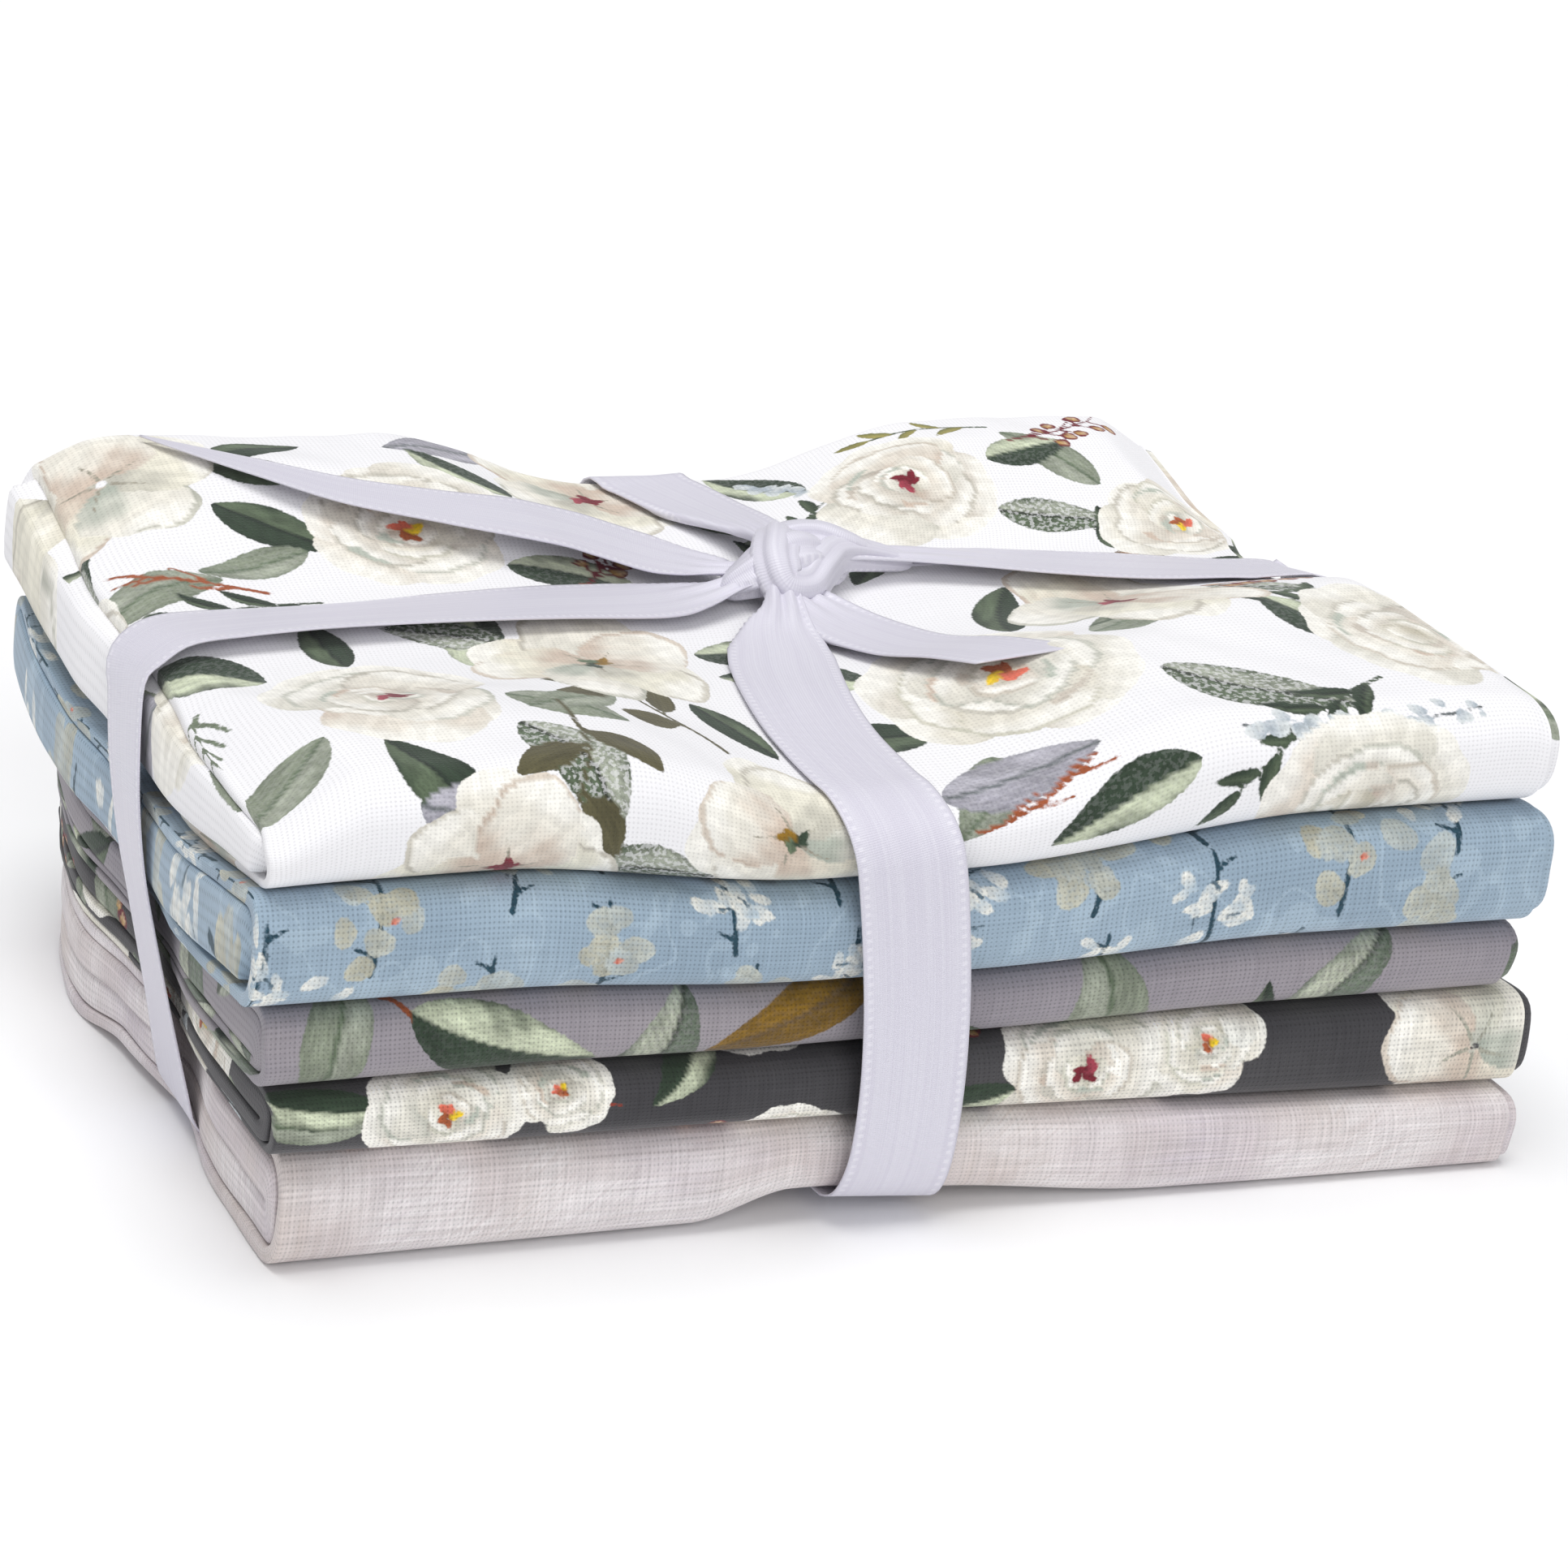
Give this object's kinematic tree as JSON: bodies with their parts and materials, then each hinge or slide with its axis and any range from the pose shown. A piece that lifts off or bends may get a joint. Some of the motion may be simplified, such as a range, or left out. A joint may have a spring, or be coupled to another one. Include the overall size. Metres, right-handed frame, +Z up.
{
  "type": "fat quarter bundle",
  "caption": "Stack of folded cotton quilting fabrics in floral prints and a plain linen look, tied crosswise with a flat satin ribbon and a knot on top.",
  "frame": {"origin": "middle of the stack's footprint, at the surface that it rests on", "axes": "+X along the folded length to the right, +Y from the front folds to the back, +Z up"},
  "size_m": [0.1841, 0.123, 0.0736],
  "materials": {
    "white_floral_cotton": "plain weave cotton, white with cream flowers and green leaves",
    "blue_blossom_cotton": "plain weave cotton, dusty blue with white blossom",
    "grey_leaf_cotton": "plain weave cotton, mauve grey with sage leaves",
    "charcoal_floral_cotton": "plain weave cotton, charcoal with white flowers",
    "linen_look_cotton": "plain weave cotton, pale lilac beige with a cross-hatched linen look",
    "satin_ribbon": "pale lilac white satin"
  },
  "bodies": {
    "root": {"fabric_white_floral": "white_floral_cotton", "fabric_blue_blossom": "blue_blossom_cotton", "fabric_grey_leaf": "grey_leaf_cotton", "fabric_charcoal_floral": "charcoal_floral_cotton", "fabric_linen": "linen_look_cotton", "ribbon": "satin_ribbon"}
  },
  "joints": []
}
